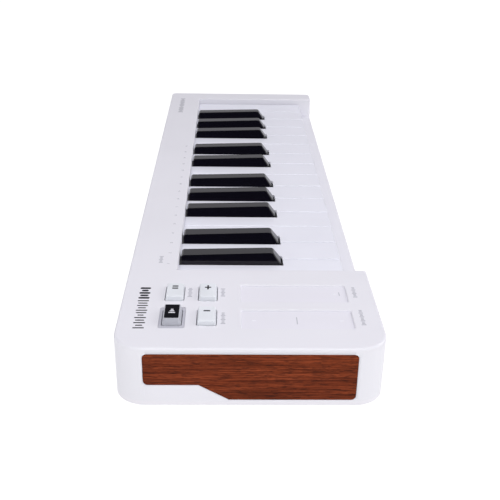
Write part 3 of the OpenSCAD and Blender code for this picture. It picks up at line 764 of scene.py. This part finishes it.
def build_cap_prints():
    """Signs towards the far end of the caps: plus, minus, two bars, and a pale wedge on black."""
    ahead = 2.0
    for node, crosses in (("octave_up_button", True), ("octave_down_button", False)):
        x, y, level, rides = cap_place(node)
        x += ahead
        bars = [((x - 0.45, x + 0.45), (y - 1.3, y + 1.3))]
        if crosses:
            arms = ((-1.8, -0.45), (0.45, 1.8))
            bars += [((x + near, x + far), (y - 0.35, y + 0.35)) for near, far in arms]
        print_bars(node + "_sign", bars, INK_DARK, level, rides)
    x, y, level, rides = cap_place("hold_button")
    places = [x + ahead + side for side in (-0.9, 0.9)]
    bars = [((place - 0.5, place + 0.5), (y - 1.2, y + 1.2)) for place in places]
    print_bars("hold_button_sign", bars, INK_DARK, level, rides)
    x, y, level, rides = cap_place("shift_button")
    label = ((x - 5.3, x + 4.95), (y - 2.8, y + 2.8))
    print_bars("shift_button_label", [label], INK_BLACK, level, rides, 0.4)
    wedge = [((x + i * 1.2 - 1.5, x + i * 1.2 - 0.9), (y - half, y + half))
             for i, half in enumerate((1.3, 0.9, 0.5))]
    print_bars("shift_button_sign", wedge, INK_PALE, level + 0.02 * MM, rides)


def cap_place(node):
    """Middle of a cap in printing millimetres, its top level, and what its printing rides on."""
    low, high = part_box(node)
    centre = middle(low, high)
    return ((centre.x - CASE_LOW.x) / MM, centre.y / MM, high.z - PRINT_ROOM,
            (BODY_OF[node], SLOT_OF[node]))


# =========================== stage ===========================
# The tent's brightness from its right end (0) round to its left end (1)
TENT = [(0.86, (0.57, 0.56, 0.59)), (0.93, (0.03, 0.03, 0.035))]

CAMERA_PLACE = (-0.42963, 0.00857, 0.18879)
CAMERA_PITCH = math.radians(25.78)
CAMERA_YAW = math.radians(-1.68)
CAMERA_ROLL = math.radians(1.10)
SENSOR_MM = 36.0
LENS_MM = 58.67
FLOOR_SIZE = 6.0


def soft_light(name, place, target, size, power):
    data = bpy.data.lights.new(name, "AREA")
    data.shape = "RECTANGLE"
    data.size, data.size_y = size
    data.energy = power
    lamp = bpy.data.objects.new(name, data)
    lamp.location = place
    aim = Vector(target) - Vector(place)
    lamp.rotation_euler = aim.to_track_quat("-Z", "Y").to_euler()
    bpy.context.scene.collection.objects.link(lamp)


def build_floor():
    """A pale floor that glows evenly, so that it comes out plain white."""
    mesh = bmesh.new()
    bmesh.ops.create_grid(mesh, x_segments=2, y_segments=2, size=FLOOR_SIZE)
    data = bpy.data.meshes.new("floor")
    mesh.to_mesh(data)
    mesh.free()
    n = Nodes("floor")
    speckle = n.tones(n.noise(40.0), (0.14, 0.14, 0.14), (0.15, 0.15, 0.15))
    n.join(speckle, n.shader.inputs["Base Color"])
    n.shader.inputs["Roughness"].default_value = 0.95
    n.shader.inputs["Specular IOR Level"].default_value = 0.0
    n.shader.inputs["Emission Color"].default_value = (1.0, 1.0, 1.0, 1.0)
    n.shader.inputs["Emission Strength"].default_value = 0.97
    data.materials.append(n.material)
    floor = bpy.data.objects.new("floor", data)
    bpy.context.scene.collection.objects.link(floor)


def build_world():
    """An even pale tent, dark low beyond the left end."""
    world = bpy.data.worlds.new("studio")
    bpy.context.scene.world = world
    world.use_nodes = True
    tree = world.node_tree
    background = tree.nodes["Background"]
    place = tree.nodes.new("ShaderNodeTexCoord")
    leftward = tree.nodes.new("ShaderNodeVectorMath")
    leftward.operation = "DOT_PRODUCT"
    leftward.inputs[1].default_value = (-0.98, 0.0, 0.2)
    share = tree.nodes.new("ShaderNodeMapRange")
    share.inputs["From Min"].default_value = -1.0
    ramp = tree.nodes.new("ShaderNodeValToRGB")
    elements = ramp.color_ramp.elements
    for element, (position, colour) in zip(elements, TENT):
        element.position = position
        element.color = (*colour, 1.0)
    tree.links.new(place.outputs["Generated"], leftward.inputs[0])
    tree.links.new(leftward.outputs["Value"], share.inputs["Value"])
    tree.links.new(share.outputs["Result"], ramp.inputs["Fac"])
    tree.links.new(ramp.outputs["Color"], background.inputs["Color"])


def build_lights():
    """A large bank high over the left end, one in front, and a small one above."""
    soft_light("left_bank", (-1.0, 0.0, 1.0), (-0.1, 0.0, 0.0), (1.1, 0.7), 8.9)
    soft_light("front_bank", (0.0, -1.3, 0.7), (0.0, 0.0, 0.0), (1.2, 0.6), 5.2)
    soft_light("top_bank", (-0.45, 0.0, 0.75), (-0.05, 0.0, 0.0), (0.5, 0.25), 0.6)


def build_camera():
    """The photograph's view: low over the left end, along the keys."""
    level = math.cos(CAMERA_PITCH)
    forward = Vector((level * math.cos(CAMERA_YAW), level * math.sin(CAMERA_YAW),
                      -math.sin(CAMERA_PITCH)))
    right = forward.cross(Vector((0, 0, 1))).normalized()
    up = right.cross(forward)
    tilted_right = right * math.cos(CAMERA_ROLL) + up * math.sin(CAMERA_ROLL)
    tilted_up = up * math.cos(CAMERA_ROLL) - right * math.sin(CAMERA_ROLL)
    data = bpy.data.cameras.new("camera")
    data.sensor_width = SENSOR_MM
    data.lens = LENS_MM
    data.clip_start = 0.01
    data.clip_end = 50.0
    camera = bpy.data.objects.new("camera", data)
    axes = Matrix((tilted_right, tilted_up, -forward)).transposed()
    camera.matrix_world = Matrix.Translation(CAMERA_PLACE) @ axes.to_4x4()
    bpy.context.scene.collection.objects.link(camera)
    bpy.context.scene.camera = camera


def dress_cad_nodes():
    """Gives every CAD node its slot's material; the replaced ones are hidden anyway."""
    for node, made in frame["nodes"].items():
        made.data.materials.clear()
        made.data.materials.append(MATERIALS[SLOT_OF[node]])


build_camera()
build_floor()
build_world()
build_lights()
dress_cad_nodes()
build_top_case()
for side in ("left_wood_panel", "right_wood_panel"):
    build_wood(side)
for key in WHITE_KEYS:
    build_white_key(key)
for key in BLACK_KEYS:
    build_black_key(key)
for button in BUTTONS:
    build_button(button)
build_springs_and_domes()
for strip in ("left_touch_strip", "right_touch_strip"):
    build_strip(strip)
build_deck_prints()
build_strip_prints()
build_cap_prints()
bpy.context.scene.view_settings.view_transform = "Standard"
